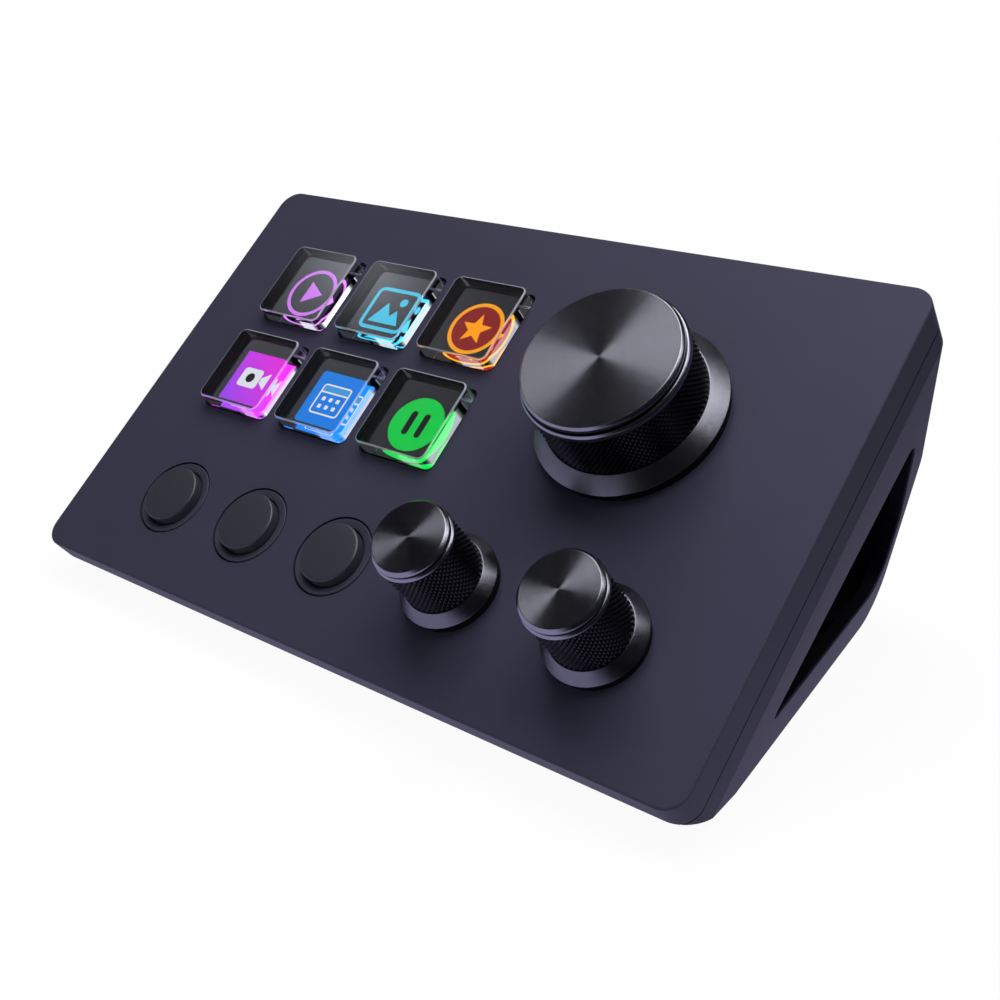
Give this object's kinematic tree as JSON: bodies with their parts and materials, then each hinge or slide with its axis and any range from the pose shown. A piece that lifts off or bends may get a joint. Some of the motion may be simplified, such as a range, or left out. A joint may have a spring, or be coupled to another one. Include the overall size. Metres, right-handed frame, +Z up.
{
  "type": "macro keypad with knobs",
  "caption": "Tilted desk macro pad: clear keys over a screen, round buttons and knurled push knobs on a sloping panel, on a hollow wedge stand.",
  "frame": {"origin": "on the desk, under the centre of the object's bounding box, at the feet's undersides", "axes": "+X to the user's right along the panel, +Y away from the user, +Z up; the panel faces up and towards -Y"},
  "size_m": [0.128, 0.076, 0.0573],
  "materials": {
    "shell": "fine matt dark slate",
    "cover": "matt",
    "inner_plastic": "matt black",
    "feet": "soft black",
    "fasteners": "zinc plated",
    "board": "green solder mask",
    "chips": "matt black",
    "socket": "bright",
    "screen": "gloss black display",
    "keys": "clear acrylic",
    "buttons": "satin charcoal",
    "encoders": "plated steel",
    "collars": "matt black",
    "knob_metal": "spun dark anodised",
    "knob_grip": "black anodised, knurled"
  },
  "bodies": {
    "housing": {"top_shell": "shell", "stand_housing": "shell", "base_cover": "cover", "rubber_feet": "feet", "cover_screws": "fasteners", "inner_tray": "inner_plastic", "housing_screws": "fasteners", "main_board": "board", "controller_chip": "chips", "usb_socket": "socket", "screen_module": "screen", "screen_carrier": "inner_plastic", "carrier_screws": "fasteners", "screen_flex": "inner_plastic", "flex_connector": "chips", "key_guide": "inner_plastic", "key_membrane": "inner_plastic", "button_bezels": "shell", "button_switches": "chips", "encoder_bodies": "encoders", "knob_collars": "collars"},
    "key_1": {"key_cap_1": "keys"},
    "key_2": {"key_cap_2": "keys"},
    "key_3": {"key_cap_3": "keys"},
    "key_4": {"key_cap_4": "keys"},
    "key_5": {"key_cap_5": "keys"},
    "key_6": {"key_cap_6": "keys"},
    "button_1": {"button_cap_1": "buttons"},
    "button_2": {"button_cap_2": "buttons"},
    "button_3": {"button_cap_3": "buttons"},
    "big_plunger": {"big_encoder_plunger": "encoders"},
    "big_knob": {"big_encoder_shaft": "encoders", "big_knob_grip": "knob_grip", "big_knob_cap": "knob_metal", "big_knob_skirt": "knob_metal"},
    "left_plunger": {"left_encoder_plunger": "encoders"},
    "left_knob": {"left_encoder_shaft": "encoders", "left_knob_grip": "knob_grip", "left_knob_cap": "knob_metal", "left_knob_skirt": "knob_metal"},
    "right_plunger": {"right_encoder_plunger": "encoders"},
    "right_knob": {"right_encoder_shaft": "encoders", "right_knob_grip": "knob_grip", "right_knob_cap": "knob_metal", "right_knob_skirt": "knob_metal"}
  },
  "joints": [
    {"name": "key_1_press", "type": "slide", "parent": "housing", "child": "key_1", "axis": [0, -0.6428, 0.766], "range_m": [-0.0004, 0], "stiffness_N_per_m": 900, "springref_m": 0.0003},
    {"name": "key_2_press", "type": "slide", "parent": "housing", "child": "key_2", "axis": [0, -0.6428, 0.766], "range_m": [-0.0004, 0], "stiffness_N_per_m": 900, "springref_m": 0.0003},
    {"name": "key_3_press", "type": "slide", "parent": "housing", "child": "key_3", "axis": [0, -0.6428, 0.766], "range_m": [-0.0004, 0], "stiffness_N_per_m": 900, "springref_m": 0.0003},
    {"name": "key_4_press", "type": "slide", "parent": "housing", "child": "key_4", "axis": [0, -0.6428, 0.766], "range_m": [-0.0004, 0], "stiffness_N_per_m": 900, "springref_m": 0.0003},
    {"name": "key_5_press", "type": "slide", "parent": "housing", "child": "key_5", "axis": [0, -0.6428, 0.766], "range_m": [-0.0004, 0], "stiffness_N_per_m": 900, "springref_m": 0.0003},
    {"name": "key_6_press", "type": "slide", "parent": "housing", "child": "key_6", "axis": [0, -0.6428, 0.766], "range_m": [-0.0004, 0], "stiffness_N_per_m": 900, "springref_m": 0.0003},
    {"name": "button_1_press", "type": "slide", "parent": "housing", "child": "button_1", "axis": [0, -0.6428, 0.766], "range_m": [-0.0006, 0], "stiffness_N_per_m": 900, "springref_m": 0.0003},
    {"name": "button_2_press", "type": "slide", "parent": "housing", "child": "button_2", "axis": [0, -0.6428, 0.766], "range_m": [-0.0006, 0], "stiffness_N_per_m": 900, "springref_m": 0.0003},
    {"name": "button_3_press", "type": "slide", "parent": "housing", "child": "button_3", "axis": [0, -0.6428, 0.766], "range_m": [-0.0006, 0], "stiffness_N_per_m": 900, "springref_m": 0.0003},
    {"name": "big_knob_push", "type": "slide", "parent": "housing", "child": "big_plunger", "axis": [0, -0.6428, 0.766], "range_m": [-0.0005, 0], "stiffness_N_per_m": 2500, "springref_m": 0.0004},
    {"name": "big_knob_turn", "type": "hinge", "parent": "big_plunger", "child": "big_knob", "pos_m": [0.0303, 0.00055, 0.0386], "axis": [0, -0.6428, 0.766], "continuous": true},
    {"name": "left_knob_push", "type": "slide", "parent": "housing", "child": "left_plunger", "axis": [0, -0.6428, 0.766], "range_m": [-0.0005, 0], "stiffness_N_per_m": 2500, "springref_m": 0.0004},
    {"name": "left_knob_turn", "type": "hinge", "parent": "left_plunger", "child": "left_knob", "pos_m": [0.0181, -0.02481, 0.01732], "axis": [0, -0.6428, 0.766], "continuous": true},
    {"name": "right_knob_push", "type": "slide", "parent": "housing", "child": "right_plunger", "axis": [0, -0.6428, 0.766], "range_m": [-0.0005, 0], "stiffness_N_per_m": 2500, "springref_m": 0.0004},
    {"name": "right_knob_turn", "type": "hinge", "parent": "right_plunger", "child": "right_knob", "pos_m": [0.0431, -0.02481, 0.01732], "axis": [0, -0.6428, 0.766], "continuous": true}
  ]
}
